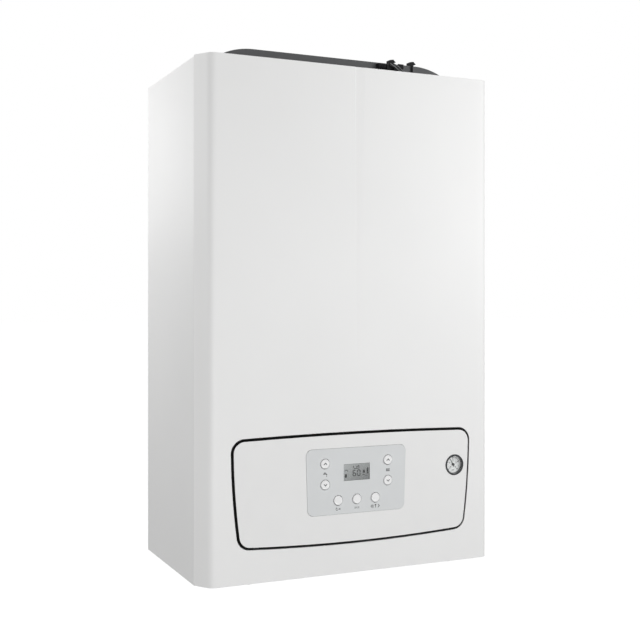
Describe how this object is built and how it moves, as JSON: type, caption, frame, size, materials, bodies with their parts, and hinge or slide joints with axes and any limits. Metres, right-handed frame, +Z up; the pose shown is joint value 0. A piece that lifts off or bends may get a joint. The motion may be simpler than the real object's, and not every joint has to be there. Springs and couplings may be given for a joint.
{
  "type": "gas boiler",
  "caption": "Wall-hung condensing gas boiler: white casing with a lift-off bevelled front cover, tilting control panel with push-buttons and pressure gauge.",
  "frame": {"origin": "on the wall plane, at the middle of the casing's bottom edge", "axes": "+X to the right seen from the front, +Y into the wall, +Z up"},
  "size_m": [0.44, 0.2482, 0.7405],
  "materials": {
    "white_paint": "gloss",
    "galvanised_sheet": "satin",
    "hood_plastic": "matt",
    "black_plastic": "matt",
    "white_plastic": "semi-gloss",
    "grey_plastic": "satin",
    "clear_plastic": "clear",
    "display_panel": "satin",
    "circuit_board": "satin",
    "gauge_rim": "polished",
    "dial_white": "matt",
    "needle_black": "matt",
    "cast_aluminium": "cast",
    "steel": "bright",
    "rubber": "matt",
    "ceramic": "glazed",
    "motor_paint": "satin",
    "copper": "drawn",
    "brass": "machined",
    "trap_plastic": "satin",
    "vessel_paint": "gloss",
    "red_plastic": "gloss"
  },
  "bodies": {
    "chassis": {"left_side_panel": "white_paint", "right_side_panel": "white_paint", "rear_frame": "galvanised_sheet", "top_panel": "galvanised_sheet", "bottom_panel": "galvanised_sheet", "panel_crossbar": "galvanised_sheet", "top_hood": "hood_plastic", "hood_hooks": "black_plastic", "diverter_motor": "black_plastic", "air_silencer": "black_plastic", "flue_collar": "cast_aluminium", "heat_exchanger": "cast_aluminium", "burner_door": "cast_aluminium", "gas_air_duct": "cast_aluminium", "fan_housing": "cast_aluminium", "venturi": "cast_aluminium", "gas_valve": "cast_aluminium", "door_nuts": "steel", "burner": "steel", "plate_exchanger": "steel", "flue_gasket": "rubber", "condensate_hose": "rubber", "spark_electrode": "ceramic", "fan_motor": "motor_paint", "pump_motor": "motor_paint", "gas_supply_pipe": "copper", "gas_feed_pipe": "copper", "flow_pipe": "copper", "return_pipe": "copper", "vessel_pipe": "copper", "flow_group": "brass", "return_group": "brass", "safety_valve": "brass", "connection_nipples": "brass", "condensate_trap": "trap_plastic", "expansion_vessel": "vessel_paint"},
    "cover": {"front_cover": "white_paint", "cover_screws": "steel"},
    "panel": {"panel_frame": "black_plastic", "fascia": "white_plastic", "keypad_plate": "grey_plastic", "display_lens": "clear_plastic", "display_module": "display_panel", "control_board": "circuit_board", "control_box_lid": "black_plastic", "gauge_case": "gauge_rim", "gauge_dial": "dial_white", "gauge_lens": "clear_plastic"},
    "button_water_up_body": {"button_water_up": "white_plastic"},
    "button_water_down_body": {"button_water_down": "white_plastic"},
    "button_heating_up_body": {"button_heating_up": "white_plastic"},
    "button_heating_down_body": {"button_heating_down": "white_plastic"},
    "button_reset_body": {"button_reset": "white_plastic"},
    "button_info_body": {"button_info": "white_plastic"},
    "button_mode_body": {"button_mode": "white_plastic"},
    "gauge_needle_body": {"gauge_needle": "needle_black"},
    "fan_wheel_body": {"fan_wheel": "cast_aluminium"},
    "pump_impeller_body": {"pump_impeller": "trap_plastic"},
    "filling_knob_body": {"filling_knob": "black_plastic"},
    "safety_knob_body": {"safety_knob": "red_plastic"}
  },
  "joints": [
    {"name": "cover_off", "type": "slide", "parent": "chassis", "child": "cover", "axis": [0, -1, 0], "range_m": [0, 0.3]},
    {"name": "panel_tilt", "type": "hinge", "parent": "chassis", "child": "panel", "pos_m": [0, -0.2426, 0.056], "axis": [1, 0, 0], "range_deg": [0, 70]},
    {"name": "button_water_up_press", "type": "slide", "parent": "panel", "child": "button_water_up_body", "axis": [0, 1, 0], "range_m": [0, 0.0012], "stiffness_N_per_m": 600},
    {"name": "button_water_down_press", "type": "slide", "parent": "panel", "child": "button_water_down_body", "axis": [0, 1, 0], "range_m": [0, 0.0012], "stiffness_N_per_m": 600},
    {"name": "button_heating_up_press", "type": "slide", "parent": "panel", "child": "button_heating_up_body", "axis": [0, 1, 0], "range_m": [0, 0.0012], "stiffness_N_per_m": 600},
    {"name": "button_heating_down_press", "type": "slide", "parent": "panel", "child": "button_heating_down_body", "axis": [0, 1, 0], "range_m": [0, 0.0012], "stiffness_N_per_m": 600},
    {"name": "button_reset_press", "type": "slide", "parent": "panel", "child": "button_reset_body", "axis": [0, 1, 0], "range_m": [0, 0.0012], "stiffness_N_per_m": 600},
    {"name": "button_info_press", "type": "slide", "parent": "panel", "child": "button_info_body", "axis": [0, 1, 0], "range_m": [0, 0.0012], "stiffness_N_per_m": 600},
    {"name": "button_mode_press", "type": "slide", "parent": "panel", "child": "button_mode_body", "axis": [0, 1, 0], "range_m": [0, 0.0012], "stiffness_N_per_m": 600},
    {"name": "needle_turn", "type": "hinge", "parent": "panel", "child": "gauge_needle_body", "pos_m": [0.1532, -0.2426, 0.135], "axis": [0, 1, 0], "range_deg": [-105, 165]},
    {"name": "fan_spin", "type": "hinge", "parent": "chassis", "child": "fan_wheel_body", "pos_m": [0.15, -0.196, 0.339], "axis": [0, 1, 0], "continuous": true},
    {"name": "pump_spin", "type": "hinge", "parent": "chassis", "child": "pump_impeller_body", "pos_m": [0.1, -0.08, 0.112], "axis": [0, 1, 0], "continuous": true},
    {"name": "filling_turn", "type": "hinge", "parent": "chassis", "child": "filling_knob_body", "pos_m": [0.0975, -0.095, -0.015], "axis": [0, 0, 1], "range_deg": [0, 90]},
    {"name": "safety_turn", "type": "hinge", "parent": "chassis", "child": "safety_knob_body", "pos_m": [0.177, -0.1135, 0.041], "axis": [1, 0, 0], "range_deg": [0, 90]}
  ]
}
